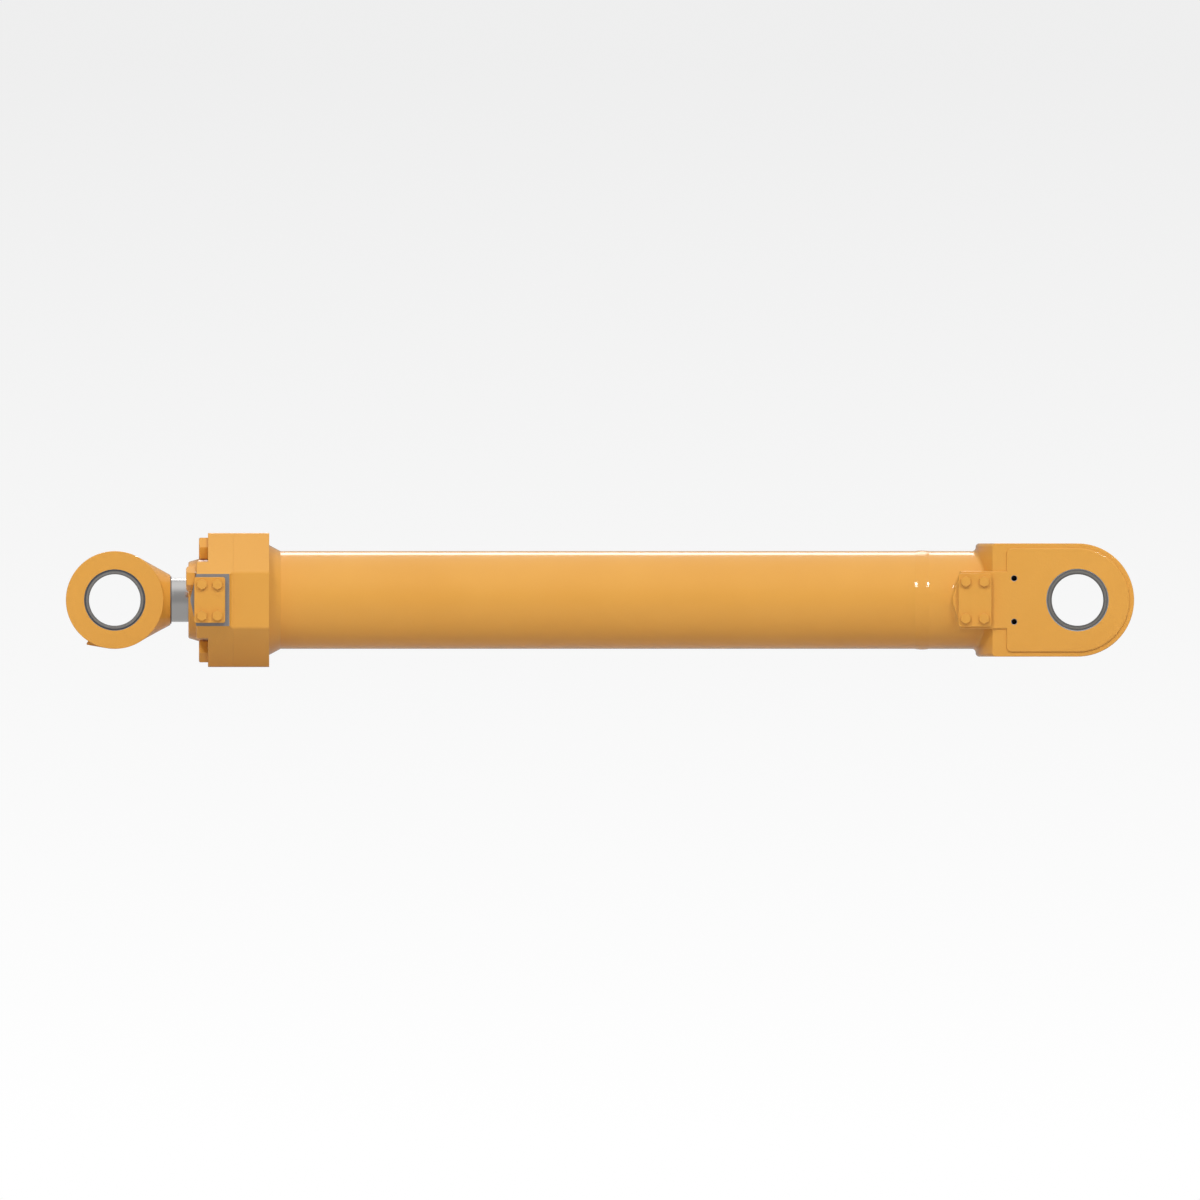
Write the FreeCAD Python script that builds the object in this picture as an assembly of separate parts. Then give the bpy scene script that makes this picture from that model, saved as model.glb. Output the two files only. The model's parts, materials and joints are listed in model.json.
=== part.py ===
import FreeCAD, Part

import math
import os

from FreeCAD import Vector

# A double-acting hydraulic cylinder, shown closed. Sizes are in millimetres.
# X runs along the cylinder from the rod end to the base end, Y along the pins, Z up.
# The origin is the centre of the base pin bore. "Front" is the side that faces -Y.

# Driving dimensions
PIN_CENTRES = 1870.0
STROKE = 1160.0
BORE_R = 80.0
TUBE_R = 95.0
ROD_R = 42.5
PIN_R = 50.0
BUSH_R = 59.0
BUSH_CHAMFER = 1.5
BUSH_INSET = 6.0
SEAL_INSET = 0.5
RUNNING = 0.05
CLEAR = 0.3

# Rod eye
EYE_X = -PIN_CENTRES
EYE_R = 95.0
EYE_HALF = 62.5
EYE_EDGE = 1.5
EYE_MOUTH = 0.5
NECK_X = EYE_X + 108.0
NECK_R = 48.7
NECK_HALF = 57.0
NECK_FOOT_X = EYE_X + 45.2
NECK_FOOT_R = 83.6
DOWEL_R = 20.0
DOWEL_LENGTH = 20.0
ROD_WELD_R = 46.2
ROD_WELD_WIDTH = 2.2
PAD_ANGLE = math.radians(10.0)
PAD_END_ANGLE = math.radians(33.0)
PAD_ROOT_R = 80.0
PAD_HALF = 22.0
PLUG_OFFSET = 22.0
PLUG_R = 6.5
GREASE_R = 3.0

# Base end
BASE_R = 110.0
BASE_HALF = 106.0
BASE_MOUTH = 1.5
PAD_STEP = 4.0
PAD_INSET = 9.0
PAD_Y = BASE_HALF + PAD_STEP
PAD_LEFT = -138.0
PAD_CORNER = 10.0
PAD_EDGE = 2.5
SHOULDER_X = -198.0
SHOULDER_PLAN_R = 186.7
SHOULDER_FILLET = 7.0
SHOULDER_EDGE = 7.0
RIM_EDGE = 1.5
BUSH_GAP_HALF = 24.0
WELD_X = -302.0
WELD_HALF = 13.6
WELD_CROWN = 1.3
WELD_ROOT_R = 84.0
CAVITY_END = -219.0
SPEAR_R = 29.9
SPEAR_BORE_R = 30.3
SPEAR_BORE_END = -160.0
SPEAR_LEAD = 4.0
TAPPED_X = -123.0
TAPPED_Z = 42.1
TAPPED_R = 5.25
TAPPED_MOUTH = 0.8
TAPPED_DEPTH = 25.0

# Flanges and their bolts
FLANGE_X = -1689.0
JOINT_X = -1640.0
FLANGE_END = -1570.0
FLANGE_AF = 260.5
FLANGE_CORNER = 8.0
FLANGE_EDGE = 0.8
JOINT_EDGE = 0.3
NECK_END = -1548.0
FLANGE_NECK_R = 106.8
BOLT_CIRCLE_R = 107.4
BOLT_R = 13.5
BOLT_AF = 41.0
BOLT_HEAD = 17.5
BOLT_REACH = 100.0
SEAT_X = -1714.0
RECESS_X = -1678.0
SOCKET_HEAD_R = 18.0
SOCKET_HEAD = 24.0
SOCKET_AF = 19.0
SOCKET_SHANK = 90.0

# Gland. Each groove is (start, end) along X.
HUB_X = -1727.0
HUB_R = 74.6
HUB_SHOULDER_X = -1707.0
HUB_SHOULDER_R = 80.0
HUB_ROOT_R = 82.5
HUB_EDGE = 2.0
WIPER_SEAT_R = 51.0
WIPER_DEPTH = 10.0
GLAND_R = 43.0
ROD_SEAL_GROOVE = (-1708.0, -1693.0)
BUFFER_GROOVE = (-1683.0, -1674.0)
SEAL_SEAT_R = 50.0
LIP_R = ROD_R + 0.1
GUIDE_X = -1664.0
GUIDE_SEAT_END = -1575.0
GUIDE_END = -1578.0
GUIDE_R = 46.5
SPIGOT_R = BORE_R - RUNNING
GLAND_O_RING_GROOVE = (-1601.0, -1592.0)
GLAND_O_RING_SEAT = 74.4
BACKUP_WIDTH = 3.0

# Piston group on the rod
PISTON_X = -362.0
PISTON_END = -262.0
PISTON_R = 78.5
PISTON_SEAT_R = 35.0
WEAR_GROOVES = ((-355.0, -335.0), (-289.0, -269.0))
WEAR_SEAT_R = 75.5
SEAL_GROOVE = (-322.0, -302.0)
ENERGISER_SEAT_R = 71.0
PISTON_O_RING_GROOVE = (-314.0, -310.0)
PISTON_O_RING_SEAT = 39.0
SLEEVE_X = PISTON_X - 40.0
SLEEVE_SEAT_R = 40.0
SLEEVE_R = 47.8
CUSHION_R = SLEEVE_R + 0.4
NUT_END = -224.0
NUT_AF = 95.0
THREAD_R = 33.0
SCREW_X = -244.0
SCREW_R = 4.0
SPIGOT_END = PISTON_X - STROKE - 8.0

# Ports. Each is a machined face with a cover plate, four bolts and an O-ring.
COVER_THICK = 12.0
COVER_EDGE = 1.0
COVER_BOLT_R = 6.0
COVER_BOLT_AF = 18.5
COVER_BOLT_HEAD = 7.5
COVER_BOLT_LENGTH = 28.0
COVER_HOLE_DEPTH = 18.0
PORT_GROOVE_DEPTH = 2.6
HEAD_PORT_X = -1685.6
HEAD_PORT_Y = -136.0
HEAD_PORT_DEPTH = 79.0
HEAD_PORT_R = 12.0
HEAD_COVER = (60.0, 88.8)
HEAD_COVER_CORNER = 4.0
HEAD_PATTERN = (30.2, 61.0)
HEAD_WAY_R = 6.5
HEAD_WAY_CIRCLE_R = 63.0
HEAD_WAY_SPACING = 17.0
BASE_PORT_X = -199.0
BASE_PORT_R = 16.0
BASE_PORT_DEPTH = 90.0
BASE_COVER = (64.0, 103.7)
BASE_COVER_CORNER = 6.0
BASE_PATTERN = (35.7, 72.0)

# Port platforms. Each ends in a blunt V towards the rod end.
HEAD_NOSE_X = -1723.6
HEAD_NOSE_R = 20.0
HEAD_BOSS_X = -1711.6
HEAD_BOSS_END = -1643.6
HEAD_BOSS_HALF = 50.6
HEAD_BOSS_FOOT = 75.0
HEAD_BOSS_ROOT_Y = -60.0
BASE_NOSE_X = -244.6
BASE_NOSE_R = 31.0
BASE_BOSS_X = -226.4
BASE_BOSS_HALF = 56.0
BASE_BOSS_ROOT_Y = -40.0
NOSE_FILLET = 6.0

X_AXIS = Vector(1, 0, 0)
Y_AXIS = Vector(0, 1, 0)
Z_AXIS = Vector(0, 0, 1)
ORIGIN = Vector(0, 0, 0)


def turned(*profile):
    """A solid of revolution about X, from a closed outline of (x, radius) points."""
    points = [Vector(x, 0, r) for x, r in profile]
    return Part.Face(Part.makePolygon(points + points[:1])).revolve(ORIGIN, X_AXIS, 360)


def sleeve(x0, x1, r_in, r_out):
    """A plain ring about X."""
    return turned((x0, r_in), (x1, r_in), (x1, r_out), (x0, r_out))


def bar_x(x0, x1, radius, y=0.0, z=0.0):
    return Part.makeCylinder(radius, x1 - x0, Vector(x0, y, z), X_AXIS)


def bar_y(y0, y1, radius, x=0.0, z=0.0):
    return Part.makeCylinder(radius, y1 - y0, Vector(x, y0, z), Y_AXIS)


def corner_arc(before, corner, after, radius):
    """Start, middle and end of the arc that rounds a corner."""
    back = (before - corner).normalize()
    on = (after - corner).normalize()
    half = back.getAngle(on) / 2
    cut = radius / math.tan(half)
    middle = corner + (back + on).normalize() * (radius / math.sin(half) - radius)
    return corner + back * cut, middle, corner + on * cut


def outline(corners, place):
    """A face inside a closed outline of (u, v, corner radius). place makes (u, v) a point."""
    flat = [Vector(u, v, 0) for u, v, radius in corners]
    arcs = []
    for i, (u, v, radius) in enumerate(corners):
        if radius:
            arcs.append(corner_arc(flat[i - 1], flat[i], flat[(i + 1) % len(flat)], radius))
        else:
            arcs.append((flat[i], flat[i], flat[i]))
    edges = []
    for i, (start, middle, end) in enumerate(arcs):
        following = arcs[(i + 1) % len(arcs)][0]
        if (end - start).Length > 1e-6:
            edges.append(Part.Arc(place(start), place(middle), place(end)).toShape())
        if (following - end).Length > 1e-6:
            edges.append(Part.makeLine(place(end), place(following)))
    return Part.Face(Part.Wire(edges))


def prism_y(corners, y0, y1):
    """An outline of (x, z, radius) extruded along Y."""
    return outline(corners, lambda p: Vector(p.x, y0, p.y)).extrude(Vector(0, y1 - y0, 0))


def prism_x(corners, x0, x1):
    """An outline of (y, z, radius) extruded along X."""
    return outline(corners, lambda p: Vector(x0, p.x, p.y)).extrude(Vector(x1 - x0, 0, 0))


def prism_z(corners, z0, z1):
    """An outline of (x, y, radius) extruded along Z."""
    return outline(corners, lambda p: Vector(p.x, p.y, z0)).extrude(Vector(0, 0, z1 - z0))


def groove(x0, x1, surface, bottom):
    """Outline points of a square groove, for turned, in the order in which they are met."""
    return (x0, surface), (x0, bottom), (x1, bottom), (x1, surface)


def soften(shape, radius, picked):
    """Rounds every edge for which picked(edge) is true."""
    return shape.makeFillet(radius, [e for e in shape.Edges if picked(e)])


def lies_at(axis, value):
    """Tests whether all of an edge lies in the plane axis = value."""

    def test(edge):
        box = edge.BoundBox
        low, high = getattr(box, axis + "Min"), getattr(box, axis + "Max")
        return abs(low - value) < 0.01 and abs(high - value) < 0.01

    return test


def hexagon(across_flats, height):
    """A hexagonal prism standing on Z = 0, with a corner on +X."""
    r = across_flats / math.sqrt(3)
    ring = [Vector(r * math.cos(a), r * math.sin(a), 0) for a in
            (math.radians(60 * k) for k in range(7))]
    return Part.Face(Part.makePolygon(ring)).extrude(Vector(0, 0, height))


def bolt_head(across_flats, height):
    """A hexagon with its outer corners chamfered at 30 degrees."""
    top_r = across_flats / 2 * 0.96
    cone = Part.makeCone(top_r + height * math.sqrt(3), top_r, height)
    return hexagon(across_flats, height).common(cone)


def aimed(shape, seat, out, corner):
    """Moves a shape made on Z = 0 so that its Z points along out and its X towards corner."""
    shape.Placement = FreeCAD.Placement(seat, FreeCAD.Rotation(corner, Vector(), out, "ZXY"))
    return shape


def hex_bolt(seat, out, corner, across_flats, head, shank_r, length):
    """A hexagon bolt whose head stands on seat, pointing out, with its shank going the other way."""
    tip = shank_r * 0.2
    shank = Part.makeCylinder(shank_r, length - tip, Vector(0, 0, tip - length))
    point = Part.makeCone(shank_r - tip, shank_r, tip, Vector(0, 0, -length))
    return aimed(bolt_head(across_flats, head).fuse([shank, point]).removeSplitter(), seat, out, corner)


def octagon(x0, x1, edge0, edge1):
    """The flange block: eight flats, of which four face up, down, front and back."""
    r = FLANGE_AF / 2 / math.cos(math.pi / 8)
    angles = [math.radians(22.5 + 45 * k) for k in range(8)]
    block = prism_x([(r * math.cos(a), r * math.sin(a), FLANGE_CORNER) for a in angles], x0, x1)
    return soften(soften(block, edge0, lies_at("X", x0)), edge1, lies_at("X", x1))


def bolt_places():
    """(y, z) of the eight head bolts, one in each corner of the octagon."""
    for k in range(8):
        angle = math.radians(22.5 + 45 * k)
        yield BOLT_CIRCLE_R * math.cos(angle), BOLT_CIRCLE_R * math.sin(angle)


def on_port_boss(y, z):
    return y < 0 and abs(z) < abs(y) / 2


def long_bolt_place():
    return next((y, z) for y, z in bolt_places() if on_port_boss(y, z) and z > 0)


def socket_bolt_place():
    return next((y, z) for y, z in bolt_places() if on_port_boss(y, z) and z < 0)


def nosed_platform(nose, nose_r, left, half, right, y0, y1):
    """A port platform seen from the front: a rectangle whose left end is a blunt V."""
    return prism_y([(nose, 0, nose_r), (left, half, 0), (right, half, 0), (right, -half, 0),
                    (left, -half, 0)], y0, y1)


def pin_bore(half, mouth, x=0.0):
    """What an eye's bore takes out of it, with chamfered mouths."""
    return [bar_y(-half - 1, half + 1, BUSH_R, x),
            Part.makeCone(BUSH_R + mouth, BUSH_R, mouth, Vector(x, -half, 0), Y_AXIS),
            Part.makeCone(BUSH_R + mouth, BUSH_R, mouth, Vector(x, half, 0), -Y_AXIS)]


# ---- barrel side -----------------------------------------------------------------------------


def barrel_tube():
    """Honed tube, bevelled at its base end for the weld."""
    return turned((NECK_END, BORE_R), (WELD_X, BORE_R), (WELD_X, WELD_ROOT_R),
                  (WELD_X - WELD_HALF, TUBE_R), (NECK_END, TUBE_R))


def barrel_flange():
    """Octagonal flange with a conical neck, welded to the tube; the head bolts screw into it."""
    neck = turned((FLANGE_END - 1, BORE_R), (NECK_END, BORE_R), (NECK_END, TUBE_R),
                  (FLANGE_END, FLANGE_NECK_R), (FLANGE_END - 1, FLANGE_NECK_R))
    block = octagon(JOINT_X, FLANGE_END, JOINT_EDGE, FLANGE_EDGE)
    shape = block.fuse(neck).cut(bar_x(JOINT_X - 1, NECK_END + 1, BORE_R))
    blind_end = FLANGE_END - 6
    holes = [bar_x(JOINT_X - 1, blind_end, BOLT_R + 0.1, y, z) for y, z in bolt_places()]
    return shape.cut(holes).removeSplitter()


def base_weld():
    """Crowned bead that fills the V between the tube and the base end."""
    left, right = Vector(WELD_X - WELD_HALF, 0, TUBE_R), Vector(WELD_X + WELD_HALF, 0, TUBE_R)
    root = Vector(WELD_X, 0, WELD_ROOT_R)
    crown = Part.Arc(left, Vector(WELD_X, 0, TUBE_R + WELD_CROWN), right).toShape()
    wire = Part.Wire([crown, Part.makeLine(right, root), Part.makeLine(root, left)])
    return Part.Face(wire).revolve(ORIGIN, X_AXIS, 360)


def stadium(left, radius, left_corner, y0, y1):
    """A flat-sided eye: straight top and bottom and a half-round right end about the pin."""
    slab = prism_y([(left, -radius, left_corner), (0, -radius, 0), (0, radius, 0),
                    (left, radius, left_corner)], y0, y1)
    return slab.fuse(bar_y(y0, y1, radius)).removeSplitter()


def base_block():
    """The eye's forging, whose left end is bowed in plan and rounded off at its top and bottom."""
    slab = stadium(SHOULDER_X - 1, BASE_R, 0, -BASE_HALF, BASE_HALF)
    slab = soften(slab, RIM_EDGE, lambda e: lies_at("Y", -BASE_HALF)(e) or lies_at("Y", BASE_HALF)(e))
    centre = SHOULDER_X + SHOULDER_PLAN_R
    half_plan = [(0, -BASE_R, 0), (SHOULDER_PLAN_R, -BASE_R, SHOULDER_EDGE),
                 (SHOULDER_PLAN_R, BASE_R, SHOULDER_EDGE), (0, BASE_R, 0)]
    drum = outline(half_plan, lambda p: Vector(centre - p.x, 0, p.y)).revolve(
        Vector(centre, 0, 0), Z_AXIS, 360)
    return slab.common(drum)


def is_on_stub(edge):
    return all(abs(math.hypot(p.y, p.z) - TUBE_R) < 0.01 for p in edge.discretize(5))


def meets_shoulder(edge):
    """Tests whether an edge lies where the round stub meets the bowed shoulder."""
    centre = SHOULDER_X + SHOULDER_PLAN_R
    on_shoulder = all(abs(math.hypot(p.x - centre, p.y) - SHOULDER_PLAN_R) < 0.01
                      for p in edge.discretize(5))
    return on_shoulder and is_on_stub(edge)


def meets_nose(edge):
    """Tests whether an edge lies where the round stub meets the V of the port platform."""
    box = edge.BoundBox
    beside_nose = BASE_NOSE_X < box.XMin and box.XMax < BASE_BOSS_X + 0.1 and box.YMax < 0
    return beside_nose and is_on_stub(edge)


def base_end():
    """Base forging: tube stub, cushion bore, port platform and the wide pin eye."""
    stub_end = SHOULDER_X + 60
    stub = turned((WELD_X, 0), (stub_end, 0), (stub_end, TUBE_R), (WELD_X + WELD_HALF, TUBE_R),
                  (WELD_X, WELD_ROOT_R))
    body = soften(stub.fuse(base_block()).removeSplitter(), SHOULDER_FILLET, meets_shoulder)
    boss = nosed_platform(BASE_NOSE_X, BASE_NOSE_R, BASE_BOSS_X, BASE_BOSS_HALF, PAD_LEFT + 20,
                          -PAD_Y, BASE_BOSS_ROOT_Y)
    radius = BASE_R - PAD_INSET
    front = stadium(PAD_LEFT, radius, PAD_CORNER, -PAD_Y, 0).fuse(boss).removeSplitter()
    body = body.fuse(soften(front, PAD_EDGE, lies_at("Y", -PAD_Y)))
    body = soften(body, NOSE_FILLET, meets_nose)
    back = soften(stadium(PAD_LEFT, radius, PAD_CORNER, 0, PAD_Y), PAD_EDGE, lies_at("Y", PAD_Y))
    port = port_cuts(BASE_PORT_X, -PAD_Y, BASE_PORT_R, BASE_PATTERN, BASE_PORT_DEPTH)
    return body.fuse(back).cut(cushion_cuts() + pin_bore(PAD_Y, BASE_MOUTH) + tapped_cuts() + port)


def cushion_cuts():
    """The oil space behind the piston and the bore that the cushion spear enters."""
    spear_bore = turned((CAVITY_END - 1, 0), (SPEAR_BORE_END, 0), (SPEAR_BORE_END, SPEAR_BORE_R),
                        (CAVITY_END + 8, SPEAR_BORE_R), (CAVITY_END - 1, SPEAR_BORE_R + SPEAR_LEAD))
    return [bar_x(WELD_X - 1, CAVITY_END, BORE_R), spear_bore]


def tapped_cuts():
    """Two blind tapped holes in the front pad, with chamfered mouths."""
    cuts = []
    for z in (TAPPED_Z, -TAPPED_Z):
        cuts.append(bar_y(-PAD_Y - 1, -PAD_Y + TAPPED_DEPTH, TAPPED_R, TAPPED_X, z))
        cuts.append(Part.makeCone(TAPPED_R + TAPPED_MOUTH, TAPPED_R, TAPPED_MOUTH,
                                  Vector(TAPPED_X, -PAD_Y, z), Y_AXIS))
    return cuts


def pin_bush(y0, y1, x=0.0):
    """A pressed bush about a pin, chamfered at both ends."""
    outer = bar_y(y0, y1, BUSH_R, x)
    outer = outer.makeChamfer(BUSH_CHAMFER, outer.Edges[0:1] + outer.Edges[2:3])
    return outer.cut(bar_y(y0 - 1, y1 + 1, PIN_R, x))


def dust_seal(half, side, x=0.0):
    """A cased lip seal between a bush and the eye's face; side is -1 at the front, 1 at the back."""
    y_inner = side * (half - BUSH_INSET)
    width = BUSH_INSET - SEAL_INSET
    profile = [(BUSH_R, 0), (BUSH_R, width - 1.2), (BUSH_R - 2.0, width - 1.2),
               (BUSH_R - 2.2, width - 0.5), (BUSH_R - 2.8, width), (PIN_R + 2.0, width),
               (PIN_R + 0.9, width - 0.9), (PIN_R + 0.5, width - 2.1), (PIN_R + 3, width - 3),
               (PIN_R + 2, 0)]
    points = [Vector(x + r, y_inner + side * w, 0) for r, w in profile]
    face = Part.Face(Part.makePolygon(points + points[:1]))
    return face.revolve(Vector(x, 0, 0), Y_AXIS, 360)


# ---- gland -----------------------------------------------------------------------------------


def gland_body():
    """The turned part of the gland: hub, seal grooves, bush seat, cushion bore and spigot."""
    o_ring_start, o_ring_end = GLAND_O_RING_GROOVE
    return turned(
        (HUB_X, WIPER_SEAT_R), (HUB_X + WIPER_DEPTH, WIPER_SEAT_R), (HUB_X + WIPER_DEPTH, GLAND_R),
        *groove(*ROD_SEAL_GROOVE, GLAND_R, SEAL_SEAT_R),
        *groove(*BUFFER_GROOVE, GLAND_R, SEAL_SEAT_R),
        (GUIDE_X, GLAND_R), (GUIDE_X, GUIDE_R), (GUIDE_SEAT_END, GUIDE_R), (GUIDE_SEAT_END, CUSHION_R),
        (SPIGOT_END, CUSHION_R), (SPIGOT_END, SPIGOT_R - 2), (SPIGOT_END - 2, SPIGOT_R),
        *groove(o_ring_end, o_ring_start, SPIGOT_R, GLAND_O_RING_SEAT),
        (JOINT_X, SPIGOT_R), (JOINT_X, 100.0), (FLANGE_X, 100.0), (FLANGE_X, HUB_ROOT_R),
        (HUB_SHOULDER_X, HUB_SHOULDER_R), (HUB_X + HUB_EDGE, HUB_R), (HUB_X, HUB_R - HUB_EDGE))


def head_port_boss():
    """The port's platform on the gland: a blunt V towards the rod and sides flush with the octagon."""
    half, foot, root = HEAD_BOSS_HALF, HEAD_BOSS_FOOT, HEAD_BOSS_ROOT_Y
    facet = FLANGE_AF / math.sqrt(2)
    section = prism_x([(HEAD_PORT_Y, -half, 0), (half - facet, -half, 0), (foot - facet, -foot, 8.0),
                       (root, -foot, 0), (root, foot, 0), (foot - facet, foot, 8.0),
                       (half - facet, half, 0), (HEAD_PORT_Y, half, 0)],
                      HEAD_NOSE_X, HEAD_BOSS_END)
    flat_top = -FLANGE_AF / 2
    plan = prism_z([(HEAD_NOSE_X, HEAD_PORT_Y, 0), (HEAD_BOSS_END - 4.0, HEAD_PORT_Y, 0),
                    (HEAD_BOSS_END, flat_top, 0), (HEAD_BOSS_END, root, 0), (HEAD_NOSE_X, root, 0)],
                   -foot, foot)
    front = nosed_platform(HEAD_NOSE_X, HEAD_NOSE_R, HEAD_BOSS_X, half, HEAD_BOSS_END, HEAD_PORT_Y, root)
    back = prism_y([(HEAD_BOSS_X, -foot, 0), (HEAD_BOSS_END, -foot, 0), (HEAD_BOSS_END, foot, 0),
                    (HEAD_BOSS_X, foot, 0)], HEAD_PORT_Y, root)
    boss = front.fuse(back).removeSplitter().common(section).common(plan)
    return soften(boss, 3.0, lambda e: lies_at("X", HEAD_BOSS_X)(e) and e.BoundBox.ZLength > 10)


def head_gland():
    """Gland casting: octagonal flange, hub, port platform and spigot, bored and drilled."""
    shape = octagon(FLANGE_X, JOINT_X, FLANGE_EDGE, JOINT_EDGE).cut(bar_x(FLANGE_X - 1, JOINT_X + 1, 90.0))
    shape = shape.fuse([gland_body(), head_port_boss().cut(bar_x(HUB_X, JOINT_X, 70.0))])
    cuts = [bar_x(HUB_X - 5, JOINT_X + 1, BOLT_R + 0.5, y, z) for y, z in bolt_places()]
    cuts.append(bar_x(HUB_X - 5, SEAT_X, BOLT_AF / math.sqrt(3) + 1.5, *long_bolt_place()))
    cuts.append(bar_x(HUB_X - 5, RECESS_X, SOCKET_HEAD_R + 0.75, *socket_bolt_place()))
    for z in (-HEAD_WAY_SPACING, 0.0, HEAD_WAY_SPACING):
        y = -math.sqrt(HEAD_WAY_CIRCLE_R ** 2 - z ** 2)
        cuts.append(bar_x(HEAD_PORT_X, SPIGOT_END + 1, HEAD_WAY_R, y, z))
    cuts += port_cuts(HEAD_PORT_X, HEAD_PORT_Y, HEAD_PORT_R, HEAD_PATTERN, HEAD_PORT_DEPTH)
    return shape.cut(cuts).removeSplitter()


def rod_bush():
    return sleeve(GUIDE_X, GUIDE_END, ROD_R + RUNNING, GUIDE_R)


def rod_seal():
    """U-cup, open towards the oil."""
    start, end = ROD_SEAL_GROOVE[0] + 0.2, ROD_SEAL_GROOVE[1] - 0.2
    return turned((start, GLAND_R), (start, SEAL_SEAT_R), (end, SEAL_SEAT_R), (end - 0.8, 48.2),
                  (end - 7.8, 47.2), (end - 7.8, 45.4), (end - 0.8, 44.4), (end, LIP_R))


def buffer_seal():
    """Square-section ring behind the U-cup, with a relieved inner face."""
    start, end = BUFFER_GROOVE[0] + 0.2, BUFFER_GROOVE[1] - 0.2
    return turned((start, GLAND_R + 0.4), (start, SEAL_SEAT_R), (end, SEAL_SEAT_R), (end, GLAND_R + 1),
                  (end - 1.8, LIP_R), (end - 4.8, LIP_R))


def rod_wiper():
    """Dirt wiper whose lip leans out along the rod."""
    heel = HUB_X + WIPER_DEPTH
    return turned((heel, 43.4), (heel, WIPER_SEAT_R), (HUB_X + 0.6, WIPER_SEAT_R),
                  (HUB_X + 0.6, 47.0), (HUB_X + 2.6, 46.0), (HUB_X + 0.4, 43.6), (HUB_X + 0.2, LIP_R),
                  (HUB_X + 3.0, 43.4))


def head_o_ring():
    start, end = GLAND_O_RING_GROOVE
    middle = (start + end - BACKUP_WIDTH) / 2
    return Part.makeTorus((GLAND_O_RING_SEAT + BORE_R) / 2, 2.7, Vector(middle, 0, 0), X_AXIS)


def head_backup_ring():
    end = GLAND_O_RING_GROOVE[1] - 0.2
    return sleeve(end - BACKUP_WIDTH, end, GLAND_O_RING_SEAT + 0.1, SPIGOT_R)


def flange_bolts():
    """Six bolts whose heads bear on the flange."""
    bolts = []
    for y, z in bolt_places():
        if not on_port_boss(y, z):
            bolts.append(hex_bolt(Vector(FLANGE_X, y, z), -X_AXIS, Vector(0, y, z),
                                  BOLT_AF, BOLT_HEAD, BOLT_R, BOLT_REACH))
    return Part.makeCompound(bolts)


def long_bolt():
    """The longer bolt that goes through the port platform, with a corner of its head up."""
    return hex_bolt(Vector(SEAT_X, *long_bolt_place()), -X_AXIS, Z_AXIS, BOLT_AF, BOLT_HEAD, BOLT_R,
                    BOLT_REACH + FLANGE_X - SEAT_X)


def socket_bolt():
    """The socket-headed bolt that sits in a counterbore of the port platform."""
    y, z = socket_bolt_place()
    key = hexagon(SOCKET_AF, SOCKET_HEAD)
    key.translate(Vector(0, 0, SOCKET_HEAD / 2))
    head = Part.makeCylinder(SOCKET_HEAD_R, SOCKET_HEAD)
    shank = Part.makeCylinder(BOLT_R, SOCKET_SHANK, Vector(0, 0, -SOCKET_SHANK))
    return aimed(head.fuse(shank).cut(key), Vector(RECESS_X, y, z), -X_AXIS, Vector(0, y, z))


# ---- ports -----------------------------------------------------------------------------------


def port_corners(x, pattern):
    """(x, z) of a port's four bolts."""
    for side in (-1, 1):
        for end in (-1, 1):
            yield x + side * pattern[0] / 2, end * pattern[1] / 2


def port_cuts(x, face, radius, pattern, depth):
    """What a port takes out of its platform: the oil way, the O-ring groove and four bolt holes."""
    way = bar_y(face - 1, face + depth, radius, x)
    ring = bar_y(face - 1, face + PORT_GROOVE_DEPTH, radius + 7, x).cut(
        bar_y(face - 2, face + PORT_GROOVE_DEPTH + 1, radius + 2, x))
    holes = [bar_y(face - 1, face + COVER_HOLE_DEPTH, COVER_BOLT_R + 0.1, px, pz)
             for px, pz in port_corners(x, pattern)]
    return [way, ring] + holes


def port_cover(x, face, size, corner, pattern):
    """A blank plate over a port."""
    w, h = size[0] / 2, size[1] / 2
    back = face - COVER_THICK
    plate = prism_y([(x - w, -h, corner), (x + w, -h, corner), (x + w, h, corner), (x - w, h, corner)],
                    back, face)
    plate = soften(plate, COVER_EDGE, lies_at("Y", back))
    holes = [bar_y(back - 1, face + 1, COVER_BOLT_R + 0.5, px, pz)
             for px, pz in port_corners(x, pattern)]
    return plate.cut(holes)


def port_bolts(x, face, pattern):
    """Four bolts, each with a corner of its head pointing down."""
    seat = face - COVER_THICK
    return Part.makeCompound([
        hex_bolt(Vector(px, seat, pz), -Y_AXIS, -Z_AXIS, COVER_BOLT_AF, COVER_BOLT_HEAD,
                 COVER_BOLT_R, COVER_BOLT_LENGTH) for px, pz in port_corners(x, pattern)])


def port_o_ring(x, face, radius):
    half = PORT_GROOVE_DEPTH / 2
    return Part.makeTorus(radius + 4.5, half, Vector(x, face + half, 0), Y_AXIS)


# ---- rod side --------------------------------------------------------------------------------


def around_eye(angle, radius):
    """A point of the rod eye's side view. The angle is from straight down towards the rod end."""
    return EYE_X - radius * math.sin(angle), -radius * math.cos(angle)


def grease_point():
    """The middle of the grease plug on the pad's face, and the way in from there."""
    x, z = around_eye(PAD_ANGLE, EYE_R)
    along = Vector(-math.cos(PAD_ANGLE), 0, math.sin(PAD_ANGLE))
    return Vector(x, 0, z) + along * PLUG_OFFSET, Vector(math.sin(PAD_ANGLE), 0, math.cos(PAD_ANGLE))


def grease_way(radius, depth):
    """The drilling from the grease pad to the eye's bore, starting just outside the pad."""
    start, inward = grease_point()
    return Part.makeCylinder(radius, depth + 1, start - inward, inward)


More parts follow.
